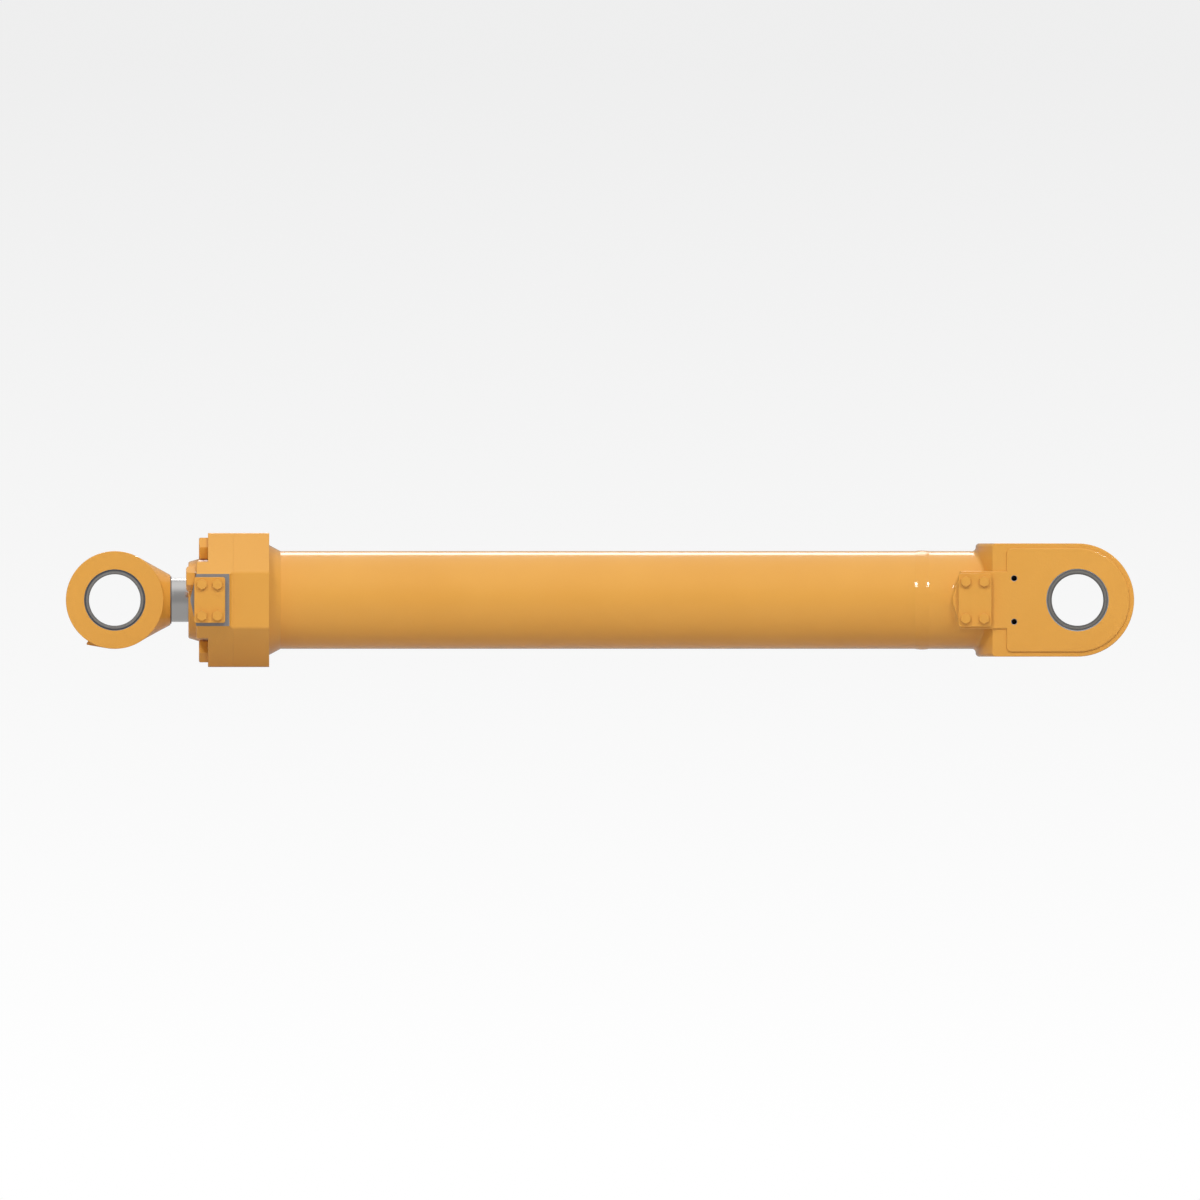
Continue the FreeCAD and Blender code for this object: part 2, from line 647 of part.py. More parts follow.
def rod_eye():
    """Forged eye with a sloped neck towards the rod and a small grease pad below."""
    disc = bar_y(-EYE_HALF, EYE_HALF, EYE_R, EYE_X)
    disc = disc.makeFillet(EYE_EDGE, [e for e in disc.Edges if len(e.Vertexes) == 1])
    neck = turned((EYE_X, 0), (NECK_X, 0), (NECK_X, NECK_R), (NECK_FOOT_X, NECK_FOOT_R),
                  (EYE_X, NECK_FOOT_R))
    slab = Part.makeBox(120, 2 * NECK_HALF, 2 * EYE_R, Vector(EYE_X, -NECK_HALF, -EYE_R))
    corner_r = EYE_R / math.cos(PAD_END_ANGLE - PAD_ANGLE)
    pad = prism_y([(*around_eye(PAD_ANGLE, EYE_R), 0), (*around_eye(PAD_END_ANGLE, corner_r), 2.0),
                   (*around_eye(PAD_END_ANGLE, PAD_ROOT_R), 0), (*around_eye(PAD_ANGLE, PAD_ROOT_R), 0)],
                  -PAD_HALF, PAD_HALF)
    shape = disc.fuse([neck.common(slab), pad]).removeSplitter()
    socket = bar_x(NECK_X - DOWEL_LENGTH - 0.5, NECK_X + 1, DOWEL_R + RUNNING)
    cuts = [socket, grease_way(GREASE_R, 50), grease_way(PLUG_R, 10)]
    return shape.cut(cuts + pin_bore(EYE_HALF, EYE_MOUTH, EYE_X))


def rod_eye_weld():
    """Thin bead between the eye's neck and the rod."""
    end = NECK_X + ROD_WELD_WIDTH
    return turned((NECK_X, ROD_R), (end, ROD_R), (end, ROD_WELD_R - 0.8), (end - 0.8, ROD_WELD_R),
                  (NECK_X, ROD_WELD_R))


def rod_eye_bush():
    bush = pin_bush(-EYE_HALF + BUSH_INSET, EYE_HALF - BUSH_INSET, EYE_X)
    return bush.cut(grease_way(GREASE_R, 60))


def grease_plug():
    """Flush plug in the grease pad, with a hexagon socket."""
    socket = hexagon(PLUG_R - 0.5, 5.0)
    socket.translate(Vector(0, 0, -0.5))
    body = Part.makeCylinder(PLUG_R, 9.0).cut(socket)
    point, inward = grease_point()
    return aimed(body, point + inward, inward, Y_AXIS)


def rod():
    """Chromed rod, stepped for the cushion sleeve, piston and nut, ending in the cushion spear."""
    spear_end = SPEAR_BORE_END - 15
    thread_end = NUT_END + 2
    dowel_x = NECK_X - DOWEL_LENGTH
    return turned((dowel_x, 0), (spear_end, 0), (spear_end, SPEAR_R - 4), (spear_end - 6, SPEAR_R),
                  (thread_end, SPEAR_R), (thread_end, THREAD_R), (PISTON_END, THREAD_R),
                  (PISTON_END, PISTON_SEAT_R), (PISTON_X, PISTON_SEAT_R), (PISTON_X, SLEEVE_SEAT_R),
                  (SLEEVE_X, SLEEVE_SEAT_R), (SLEEVE_X, ROD_R), (NECK_X, ROD_R), (NECK_X, DOWEL_R),
                  (dowel_x, DOWEL_R))


def cushion_sleeve():
    """Sleeve that closes the gland's cushion bore at the end of the stroke."""
    return turned((SLEEVE_X, SLEEVE_SEAT_R), (PISTON_X, SLEEVE_SEAT_R), (PISTON_X, SLEEVE_R),
                  (SLEEVE_X + 6, SLEEVE_R), (SLEEVE_X, SLEEVE_R - 3))


def piston():
    """Piston with grooves for two wear rings and the seal, and one inside for its O-ring."""
    wear_front, wear_back = WEAR_GROOVES
    return turned(
        (PISTON_X, PISTON_SEAT_R), *groove(*PISTON_O_RING_GROOVE, PISTON_SEAT_R, PISTON_O_RING_SEAT),
        (PISTON_END, PISTON_SEAT_R), (PISTON_END, PISTON_R - 2), (PISTON_END - 2, PISTON_R),
        *groove(wear_back[1], wear_back[0], PISTON_R, WEAR_SEAT_R),
        *groove(SEAL_GROOVE[1], SEAL_GROOVE[0], PISTON_R, ENERGISER_SEAT_R),
        *groove(wear_front[1], wear_front[0], PISTON_R, WEAR_SEAT_R),
        (PISTON_X + 2, PISTON_R), (PISTON_X, PISTON_R - 2))


def piston_o_ring():
    middle = sum(PISTON_O_RING_GROOVE) / 2
    return Part.makeTorus((PISTON_SEAT_R + PISTON_O_RING_SEAT) / 2, 1.9, Vector(middle, 0, 0), X_AXIS)


def wear_ring(start, end):
    """Guide band in a piston groove, split by a slanted gap."""
    ring = sleeve(start + 0.2, end - 0.2, WEAR_SEAT_R + CLEAR, BORE_R - RUNNING)
    gap = Part.makeBox(60, 3, 12, Vector(-30, -1.5, 0))
    gap.rotate(ORIGIN, Z_AXIS, 30)
    gap.translate(Vector((start + end) / 2, 0, 72))
    return ring.cut(gap)


def piston_seal():
    """Sliding ring of the piston seal."""
    return sleeve(SEAL_GROOVE[0] + CLEAR, SEAL_GROOVE[1] - CLEAR, 75.4, BORE_R - RUNNING)


def seal_energiser():
    """Rubber ring that presses the sliding ring outwards."""
    start, end = SEAL_GROOVE[0] + 0.8, SEAL_GROOVE[1] - 0.8
    return turned((start, 71.4), (end, 71.4), (end, 74.0), (end - 2.2, 75.4), (start + 2.2, 75.4),
                  (start, 74.0))


def piston_nut():
    """Hexagon nut on the rod's thread, drilled for its set screw."""
    nut = aimed(bolt_head(NUT_AF, NUT_END - PISTON_END), Vector(PISTON_END, 0, 0), X_AXIS, Y_AXIS)
    hole = Part.makeCylinder(SCREW_R, 40.0, Vector(SCREW_X, 0, 20.0), Z_AXIS)
    return nut.cut([bar_x(PISTON_END - 1, NUT_END + 1, THREAD_R), hole])


def nut_set_screw():
    """Screw that locks the nut, sunk below its flat, with a hexagon socket."""
    screw = Part.makeCylinder(SCREW_R, 12.0, Vector(SCREW_X, 0, THREAD_R + 0.2), Z_AXIS)
    socket = hexagon(SCREW_R, 5.0)
    socket.translate(Vector(SCREW_X, 0, THREAD_R + 8.0))
    return screw.cut(socket)


NODES = {
    "barrel_tube": barrel_tube,
    "barrel_flange": barrel_flange,
    "base_weld": base_weld,
    "base_end": base_end,
    "base_bush_front": lambda: pin_bush(-PAD_Y + BUSH_INSET, -BUSH_GAP_HALF),
    "base_bush_rear": lambda: pin_bush(BUSH_GAP_HALF, PAD_Y - BUSH_INSET),
    "base_dust_seal_front": lambda: dust_seal(PAD_Y, -1),
    "base_dust_seal_rear": lambda: dust_seal(PAD_Y, 1),
    "head_gland": head_gland,
    "rod_guide_bush": rod_bush,
    "rod_seal": rod_seal,
    "rod_buffer_seal": buffer_seal,
    "rod_wiper": rod_wiper,
    "head_o_ring": head_o_ring,
    "head_backup_ring": head_backup_ring,
    "head_bolts": flange_bolts,
    "head_bolt_long": long_bolt,
    "head_bolt_socket": socket_bolt,
    "head_port_cover": lambda: port_cover(HEAD_PORT_X, HEAD_PORT_Y, HEAD_COVER, HEAD_COVER_CORNER,
                                          HEAD_PATTERN),
    "head_port_bolts": lambda: port_bolts(HEAD_PORT_X, HEAD_PORT_Y, HEAD_PATTERN),
    "head_port_o_ring": lambda: port_o_ring(HEAD_PORT_X, HEAD_PORT_Y, HEAD_PORT_R),
    "base_port_cover": lambda: port_cover(BASE_PORT_X, -PAD_Y, BASE_COVER, BASE_COVER_CORNER,
                                          BASE_PATTERN),
    "base_port_bolts": lambda: port_bolts(BASE_PORT_X, -PAD_Y, BASE_PATTERN),
    "base_port_o_ring": lambda: port_o_ring(BASE_PORT_X, -PAD_Y, BASE_PORT_R),
    "piston_seal": piston_seal,
    "piston_seal_energiser": seal_energiser,
    "piston_wear_ring_rod_side": lambda: wear_ring(*WEAR_GROOVES[0]),
    "piston_wear_ring_base_side": lambda: wear_ring(*WEAR_GROOVES[1]),
    "rod": rod,
    "rod_eye": rod_eye,
    "rod_eye_weld": rod_eye_weld,
    "rod_eye_bush": rod_eye_bush,
    "rod_eye_dust_seal_front": lambda: dust_seal(EYE_HALF, -1, EYE_X),
    "rod_eye_dust_seal_rear": lambda: dust_seal(EYE_HALF, 1, EYE_X),
    "rod_eye_grease_plug": grease_plug,
    "cushion_sleeve": cushion_sleeve,
    "piston": piston,
    "piston_o_ring": piston_o_ring,
    "piston_nut": piston_nut,
    "piston_nut_set_screw": nut_set_screw,
}

os.makedirs("parts", exist_ok=True)
for name, make in NODES.items():
    shape = make()
    shape.exportStep("parts/" + name + ".step")
    print(name, shape.isValid(), len(shape.Solids), round(shape.Volume / 1000, 1))
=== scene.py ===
import json
import math

import bpy
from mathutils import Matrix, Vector


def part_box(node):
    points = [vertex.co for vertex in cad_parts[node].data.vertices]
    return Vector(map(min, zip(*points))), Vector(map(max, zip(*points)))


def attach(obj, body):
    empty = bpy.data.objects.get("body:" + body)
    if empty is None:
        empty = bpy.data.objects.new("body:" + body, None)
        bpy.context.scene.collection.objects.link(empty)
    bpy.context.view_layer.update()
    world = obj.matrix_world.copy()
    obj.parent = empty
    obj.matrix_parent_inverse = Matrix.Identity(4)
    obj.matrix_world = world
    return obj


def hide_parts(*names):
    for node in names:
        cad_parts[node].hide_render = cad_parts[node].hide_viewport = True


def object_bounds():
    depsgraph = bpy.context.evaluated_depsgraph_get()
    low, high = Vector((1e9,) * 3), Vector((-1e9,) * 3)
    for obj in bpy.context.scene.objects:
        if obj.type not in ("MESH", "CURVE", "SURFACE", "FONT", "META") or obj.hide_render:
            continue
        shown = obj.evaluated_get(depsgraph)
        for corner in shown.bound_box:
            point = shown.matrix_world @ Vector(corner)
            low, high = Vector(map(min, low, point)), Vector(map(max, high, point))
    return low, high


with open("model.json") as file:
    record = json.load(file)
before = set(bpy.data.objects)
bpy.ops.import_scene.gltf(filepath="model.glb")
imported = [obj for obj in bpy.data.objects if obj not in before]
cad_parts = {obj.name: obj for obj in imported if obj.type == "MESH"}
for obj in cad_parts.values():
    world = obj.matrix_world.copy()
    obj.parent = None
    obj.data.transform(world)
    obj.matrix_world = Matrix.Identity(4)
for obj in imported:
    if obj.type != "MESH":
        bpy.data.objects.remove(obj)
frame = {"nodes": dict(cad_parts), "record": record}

# Looks of a hydraulic cylinder. Metres, X along the cylinder, Y along the pins, Z up.
# The photograph's side looks along +Y.

CAD_LOW, CAD_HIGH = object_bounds()
CENTRE_X = (CAD_LOW.x + CAD_HIGH.x) / 2
LENGTH = CAD_HIGH.x - CAD_LOW.x
nodes = frame["nodes"]
mounts = {m["name"]: m for m in frame["record"]["mounts"]}


# ---- camera, light and floor -----------------------------------------------------------------

FRAME_TO_LENGTH = 1.1233
CAMERA_DISTANCE = 9.0
CAMERA_REACH = 60

# Two keys, mirrored left and right, and a wide sky behind.
KEY_ASIDE = 0.31
KEY_FORWARD = -0.74
KEY_UP = 0.60
KEY_STRENGTH = 0.83
KEY_SPREAD = 9
BEHIND_TOWARDS = (0.15, 0.80, 0.58)
BEHIND_STRENGTH = 1.1
BEHIND_SPREAD = 45
FILL_OFFSET = (0.0, -4.6, -0.1)
FILL_SIZE = (4.5, 2.0)
FILL_WATTS = 7

# The world's brightness by direction. A soft box is limits on the parts of a unit vector.
WALL_GLOW = 0.37
CEILING_GLOW = 0.95
CEILING_FROM = 0.60
CEILING_FULL = 1.02
GROUND_GLOW = 0.12
GROUND_FULL = -0.5
BACK_BOX_GLOW = 4.5
BACK_BOX = {"X": (-0.12, 0.08), "Y": (0.08, 1.1), "Z": (0.50, 0.72)}
BOX_EDGE = 0.04

WALL_DISTANCE = 14.0
FLOOR_SIZE = 80.0
FLOOR_ROUGHNESS = 0.8
FLOOR_DROP = 0.0005
FLOOR_GREY = 0.68
FLOOR_TONE = 0.80
WALL_TOP_TONE = 0.86
PIT_FROM = 1.6
PIT_FULL = 2.2


def make_camera():
    """A side view without perspective, centred on the cylinder."""
    data = bpy.data.cameras.new("camera")
    data.type = "ORTHO"
    data.ortho_scale = LENGTH * FRAME_TO_LENGTH
    data.clip_end = CAMERA_REACH
    camera = bpy.data.objects.new("camera", data)
    camera.location = (CENTRE_X, -CAMERA_DISTANCE, 0)
    camera.rotation_euler = (math.radians(90), 0, 0)
    bpy.context.scene.collection.objects.link(camera)
    bpy.context.scene.camera = camera


def add_area(name, offset, size, watts):
    """A rectangular light that faces the cylinder's middle, itself never seen."""
    data = bpy.data.lights.new(name, "AREA")
    data.shape = "RECTANGLE"
    data.size, data.size_y = size
    data.energy = watts
    light = bpy.data.objects.new(name, data)
    light.location = (CENTRE_X + offset[0], offset[1], offset[2])
    aim = Vector((CENTRE_X, 0, 0)) - light.location
    light.rotation_euler = aim.to_track_quat("-Z", "Y").to_euler()
    light.visible_glossy = False
    light.visible_camera = False
    bpy.context.scene.collection.objects.link(light)


def add_sun(name, towards, strength, spread):
    """A light far off, in the direction towards."""
    data = bpy.data.lights.new(name, "SUN")
    data.energy = strength
    data.angle = math.radians(spread)
    light = bpy.data.objects.new(name, data)
    light.rotation_euler = (-Vector(towards)).to_track_quat("-Z", "Y").to_euler()
    bpy.context.scene.collection.objects.link(light)
    return light


def make_lights():
    """Two keys above the camera, to its left and right, a weak box in front and a sky behind."""
    add_sun("key_left", (-KEY_ASIDE, KEY_FORWARD, KEY_UP), KEY_STRENGTH, KEY_SPREAD)
    add_sun("key_right", (KEY_ASIDE, KEY_FORWARD, KEY_UP), KEY_STRENGTH, KEY_SPREAD)
    behind = add_sun("behind", BEHIND_TOWARDS, BEHIND_STRENGTH, BEHIND_SPREAD)
    behind.visible_glossy = False
    add_area("front_fill", FILL_OFFSET, FILL_SIZE, FILL_WATTS)


class Surroundings:
    """The world, lit by direction: ramps along an axis and soft boxes, all far off."""

    def __init__(self):
        self.world = bpy.data.worlds.new("world")
        self.world.use_nodes = True
        self.tree = self.world.node_tree
        direction = self.tree.nodes.new("ShaderNodeTexCoord").outputs["Generated"]
        self.towards = self.tree.nodes.new("ShaderNodeSeparateXYZ")
        self.tree.links.new(direction, self.towards.inputs[0])

    def ramp(self, axis, start, end, low=0.0, high=1.0):
        """Rises from low to high as the direction's part along axis goes from start to end."""
        made = self.tree.nodes.new("ShaderNodeMapRange")
        made.interpolation_type = "SMOOTHSTEP"
        for key, value in (("From Min", start), ("From Max", end), ("To Min", low), ("To Max", high)):
            made.inputs[key].default_value = value
        self.tree.links.new(self.towards.outputs[axis], made.inputs["Value"])
        return made.outputs[0]

    def join(self, operation, a, b):
        made = self.tree.nodes.new("ShaderNodeMath")
        made.operation = operation
        self.tree.links.new(a, made.inputs[0])
        self.tree.links.new(b, made.inputs[1])
        return made.outputs[0]

    def soft_box(self, glow, spans):
        """A glowing patch between two limits along each axis, with soft edges."""
        total = None
        for axis, (low, high) in spans.items():
            for start, end in ((low - BOX_EDGE, low + BOX_EDGE), (high + BOX_EDGE, high - BOX_EDGE)):
                side = self.ramp(axis, start, end, 0.0, 1.0 if total else glow)
                total = self.join("MULTIPLY", total, side) if total else side
        return total


def make_surroundings():
    """A studio with dim walls, a bright ceiling and a small soft box behind."""
    around = Surroundings()
    glow = around.ramp("Z", CEILING_FROM, CEILING_FULL, WALL_GLOW, CEILING_GLOW)
    glow = around.join("ADD", glow, around.soft_box(BACK_BOX_GLOW, BACK_BOX))
    glow = around.join("ADD", glow, around.ramp("Z", 0.0, GROUND_FULL, 0.0, GROUND_GLOW))
    sky = around.tree.nodes["Background"]
    sky.inputs["Color"].default_value = (1, 1, 1, 1)
    around.tree.links.new(glow, sky.inputs["Strength"])
    bpy.context.scene.world = around.world
    bpy.context.scene.view_settings.view_transform = "Standard"


def glowing_wall():
    """A pale wall: white low down, greyer high up, and of the floor's tone far below the floor."""
    material = bpy.data.materials.new("wall")
    material.use_nodes = True
    tree = material.node_tree
    tree.nodes.clear()
    place = tree.nodes.new("ShaderNodeTexCoord")
    split = tree.nodes.new("ShaderNodeSeparateXYZ")
    total = tree.nodes.new("ShaderNodeMath")
    glow = tree.nodes.new("ShaderNodeEmission")
    out = tree.nodes.new("ShaderNodeOutputMaterial")
    tree.links.new(place.outputs["Object"], split.inputs[0])
    half = LENGTH / 2
    ramps = ((-half, half, 1.0, WALL_TOP_TONE), (-half * PIT_FULL, -half * PIT_FROM, FLOOR_TONE - 1.0, 0.0))
    for slot, (start, end, low, high) in enumerate(ramps):
        ramp = tree.nodes.new("ShaderNodeMapRange")
        ramp.inputs["From Min"].default_value = start
        ramp.inputs["From Max"].default_value = end
        ramp.inputs["To Min"].default_value = low
        ramp.inputs["To Max"].default_value = high
        tree.links.new(split.outputs["Y"], ramp.inputs["Value"])
        tree.links.new(ramp.outputs[0], total.inputs[slot])
    tree.links.new(total.outputs[0], glow.inputs["Strength"])
    tree.links.new(glow.outputs[0], out.inputs[0])
    return material


def matt_floor():
    """A plain pale floor without shine."""
    material = bpy.data.materials.new("floor")
    material.use_nodes = True
    surface = material.node_tree.nodes["Principled BSDF"]
    surface.inputs["Base Color"].default_value = (FLOOR_GREY, FLOOR_GREY, FLOOR_GREY, 1)
    surface.inputs["Roughness"].default_value = FLOOR_ROUGHNESS
    return material


def add_plane(name, size, location, rotation, material):
    half = size / 2
    mesh = bpy.data.meshes.new(name)
    corners = [(-half, -half, 0), (half, -half, 0), (half, half, 0), (-half, half, 0)]
    mesh.from_pydata(corners, [], [(0, 1, 2, 3)])
    mesh.materials.append(material)
    plane = bpy.data.objects.new(name, mesh)
    plane.location = location
    plane.rotation_euler = rotation
    bpy.context.scene.collection.objects.link(plane)
    return plane


def make_stage():
    """The pale floor that the cylinder lies on, and pale walls that only the camera sees."""
    floor = add_plane("floor", FLOOR_SIZE, (CENTRE_X, 0, CAD_LOW.z - FLOOR_DROP), (0, 0, 0), matt_floor())
    floor.visible_glossy = False
    pale = glowing_wall()
    for side in range(4):
        turn = side * math.pi / 2
        place = (CENTRE_X + WALL_DISTANCE * math.sin(turn), WALL_DISTANCE * math.cos(turn), 0)
        wall = add_plane("wall_%d" % side, 2 * WALL_DISTANCE, place, (math.pi / 2, 0, -turn), pale)
        wall.visible_diffuse = False
        wall.visible_glossy = False
        wall.visible_shadow = False


make_camera()
make_lights()
make_surroundings()
make_stage()


# ---- material kit ----------------------------------------------------------------------------


class Shader:
    """Builds one Principled material node by node."""

    def __init__(self, name, **settings):
        self.material = bpy.data.materials.new(name)
        self.material.use_nodes = True
        self.tree = self.material.node_tree
        self.bsdf = self.tree.nodes["Principled BSDF"]
        self.place = self.add("TexCoord").outputs["Object"]
        for key, value in settings.items():
            self.set(key, value)

    def add(self, kind, inputs=None, **settings):
        made = self.tree.nodes.new("ShaderNode" + kind)
        for key, value in settings.items():
            setattr(made, key, value)
        for key, value in (inputs or {}).items():
            self.feed(made.inputs[key], value)
        return made

    def feed(self, socket, value):
        if isinstance(value, bpy.types.NodeSocket):
            self.tree.links.new(value, socket)
        elif hasattr(value, "__len__") and len(value) == 3 and socket.type == "RGBA":
            socket.default_value = (*value, 1)
        else:
            socket.default_value = value

    def set(self, key, value):
        self.feed(self.bsdf.inputs[key.replace("_", " ")], value)

    def math(self, operation, a, b=0.0):
        return self.add("Math", {0: a, 1: b}, operation=operation).outputs[0]

    def noise(self, scale, detail=3.0, stretch=(1, 1, 1), shift=(0, 0, 0)):
        """Noise from 0 to 1, scale in cells per metre."""
        where = self.add("Mapping", {"Vector": self.place, "Location": shift, "Scale": stretch})
        made = self.add("TexNoise", {"Vector": where.outputs[0], "Scale": scale, "Detail": detail})
        return made.outputs["Fac"]

    def between(self, value, low, high, to_low=0.0, to_high=1.0):
        made = self.add("MapRange", {"Value": value, "From Min": low, "From Max": high,
                                     "To Min": to_low, "To Max": to_high})
        return made.outputs[0]

    def mix(self, factor, a, b):
        return self.add("Mix", {0: factor, 6: a, 7: b}, data_type="RGBA").outputs[2]

    def axis(self, name):
        return self.add("SeparateXYZ", {0: self.place}).outputs[name]

    def radius_about_y(self, x, z=0.0):
        """The distance from the line along Y through (x, z)."""
        from_line = self.add("VectorMath", {0: self.place, 1: (x, 0, z)}, operation="SUBTRACT")
        flat = self.add("VectorMath", {0: from_line.outputs[0], 1: (1, 0, 1)}, operation="MULTIPLY")
        return self.add("VectorMath", {0: flat.outputs[0]}, operation="LENGTH").outputs["Value"]

    def edges(self, radius):
        """1 on sharp edges, 0 on flat faces."""
        rounded = self.add("Bevel", {"Radius": radius}, samples=4).outputs[0]
        flat = self.add("NewGeometry").outputs["Normal"]
        dot = self.add("VectorMath", {0: rounded, 1: flat}, operation="DOT_PRODUCT").outputs["Value"]
        return self.between(dot, 0.98, 0.86)

    def bump(self, layers, round_edges=None):
        """Stacks (height, distance in metres) layers of bump over edges rounded by a radius."""
        normal = None
        if round_edges:
            normal = self.add("Bevel", {"Radius": round_edges}, samples=4).outputs[0]
        for height, distance in layers:
            inputs = {"Height": height, "Distance": distance, "Strength": 1.0}
            if normal is not None:
                inputs["Normal"] = normal
            normal = self.add("Bump", inputs).outputs[0]
        self.set("Normal", normal)


# ---- paint and metal -------------------------------------------------------------------------

YELLOW = (0.795, 0.384, 0.064)
YELLOW_DEEP = (0.765, 0.360, 0.055)
PRIMER = (0.36, 0.22, 0.09)
STEEL = (0.31, 0.31, 0.32)
# Bare steel lightened and tinted blue beyond its own tone: partly a painted highlight, on the base end's
# bore mouths and tapped-hole mouths.
BARE_STEEL_AND_HIGHLIGHT = (0.46, 0.49, 0.53)
EDGE_ROUNDING = 0.0008


def enamel(name, cast, seed, bare=None, steel=STEEL):
    """Yellow machine enamel. cast is how rough the casting under it is, from 0 to 1, and
    bare(shader) gives a mask of machined faces, of the colour steel, left unpainted."""
    s = Shader(name, Specular_IOR_Level=0.15, Coat_Weight=0.8, Coat_Roughness=0.08)
    shift = (seed * 3.1, seed * 1.7, seed * 2.3)
    cloud = s.noise(5.0, 4.0, shift=shift)
    colour = s.mix(s.between(cloud, 0.3, 0.7), YELLOW, YELLOW_DEEP)
    worn = s.math("MULTIPLY", s.edges(0.0012), s.between(s.noise(85.0, 4.0, shift=shift), 0.60, 0.70))
    colour = s.mix(s.math("MULTIPLY", worn, 0.35), colour, PRIMER)
    rough = s.between(s.noise(30.0, 4.0, shift=shift), 0.3, 0.7, 0.36, 0.46)
    skin = s.noise(230.0, 4.0, shift=shift)
    peel = s.noise(700.0, 2.0, shift=shift)
    if bare is not None:
        mask = bare(s)
        keep = s.math("SUBTRACT", 1.0, mask)
        marks = s.noise(420.0, 3.0, stretch=(1, 1, 9), shift=shift)
        streaked = s.mix(s.between(marks, 0.3, 0.7), steel, tuple(c * 0.75 for c in steel))
        colour = s.mix(mask, colour, streaked)
        rough = s.math("ADD", s.math("MULTIPLY", rough, keep), s.math("MULTIPLY", mask, 0.45))
        skin = s.math("MULTIPLY", skin, keep)
        s.set("Metallic", s.math("MULTIPLY", mask, 0.3))
    s.set("Base Color", colour)
    s.set("Roughness", rough)
    s.bump([(skin, 0.0006 * cast), (peel, 0.00003)], EDGE_ROUNDING)
    return s.material


def turned_steel(name, colour, rough, stretch=(1, 1, 1), metallic=1.0):
    """Bare steel with fine tool marks and faint oily stains."""
    s = Shader(name, Metallic=metallic)
    marks = s.noise(600.0, 3.0, stretch=stretch)
    stain = s.noise(18.0, 4.0)
    dark = tuple(c * 0.78 for c in colour)
    s.set("Base Color", s.mix(s.between(stain, 0.4, 0.75), colour, dark))
    s.set("Roughness", s.between(marks, 0.25, 0.75, rough - 0.06, rough + 0.08))
    s.bump([(marks, 0.00002)])
    return s.material


def hard_chrome():
    """Ground and polished chrome: rings of fine grinding marks and a thin film of oil."""
    s = Shader("hard_chrome", Metallic=1.0)
    rings = s.noise(900.0, 2.0, stretch=(1, 0.02, 0.02))
    film = s.noise(9.0, 4.0)
    scratch = s.noise(160.0, 2.0, stretch=(0.05, 1, 1))
    s.set("Base Color", s.mix(s.between(film, 0.35, 0.7), (0.60, 0.585, 0.57), (0.54, 0.525, 0.51)))
    rough = s.between(rings, 0.3, 0.7, 0.13, 0.20)
    s.set("Roughness", s.math("ADD", rough, s.between(scratch, 0.62, 0.75, 0.0, 0.08)))
    s.bump([(rings, 0.000004)])
    return s.material


def soft_part(name, colour, rough, grain=500.0):
    """Rubber, resin or polyurethane: matt, faintly mottled and pitted."""
    s = Shader(name, Specular_IOR_Level=0.4)
    mottle = s.noise(40.0, 4.0)
    lighter = tuple(min(1.0, c * 1.5 + 0.01) for c in colour)
    s.set("Base Color", s.mix(s.between(mottle, 0.35, 0.75), colour, lighter))
    s.set("Roughness", s.between(s.noise(120.0), 0.3, 0.7, rough - 0.08, rough + 0.08))
    s.bump([(s.noise(grain, 3.0), 0.00008)])
    return s.material


def dust_seal(name, centre_x, bounds, rim, case, lip):
    """A seal's outer rim, its case and its rubber lip, parted at the two radii in bounds."""
    s = Shader(name, Specular_IOR_Level=0.4)
    radius = s.radius_about_y(centre_x)
    colour = lip
    for bound, further_out in zip(bounds, (case, rim)):
        outside = s.between(radius, bound - 0.0002, bound + 0.0002)
        colour = s.mix(outside, colour, further_out)
    smudge = s.between(s.noise(60.0, 4.0), 0.35, 0.75, 0.0, 0.25)
    s.set("Base Color", s.mix(smudge, colour, tuple(c * 0.6 for c in case)))
    s.set("Roughness", s.between(s.noise(150.0), 0.3, 0.7, 0.42, 0.56))
    s.bump([(s.noise(700.0, 3.0), 0.00005)])
    return s.material


def past(axis, limit, sign):
    """A mask that is 1 where sign * axis is past sign * limit."""
    return lambda s: s.math("GREATER_THAN", s.math("MULTIPLY", s.axis(axis), sign), sign * limit)


def within(*circles):
    """A mask that is 1 inside any of the circles (x, z, radius) about lines along Y."""
    def mask(s):
        total = 0.0
        for x, z, radius in circles:
            total = s.math("MAXIMUM", total, s.math("LESS_THAN", s.radius_about_y(x, z), radius))
        return total
    return mask


HEAD_FACE_Y = mounts["head_port"]["pos_m"][1]
BASE_X = mounts["base_pin_bore"]["pos_m"][0]
EYE_X = mounts["rod_pin_bore"]["pos_m"][0]
TAPPED = mounts["base_tapped_holes"]
TAPPED_X = TAPPED["pos_m"][0]
TAPPED_Z = TAPPED["dims"]["spacing_y_mm"] / 2000
TAPPED_R = TAPPED["dims"]["hole_r_mm"] / 1000
MOUTH_R = 0.0606
EYE_MOUTH_R = 0.0596

HOLE_CHAMFER = 0.0008


def base_bare(s):
    """A mask of the bore's mouths on both faces and of the two tapped holes in the front one."""
    bore = within((BASE_X, 0, MOUTH_R))(s)
    mouth = TAPPED_R + HOLE_CHAMFER
    holes = within((TAPPED_X, TAPPED_Z, mouth), (TAPPED_X, -TAPPED_Z, mouth))(s)
    return s.math("MAXIMUM", bore, s.math("MULTIPLY", holes, past("Y", 0.0, -1)(s)))


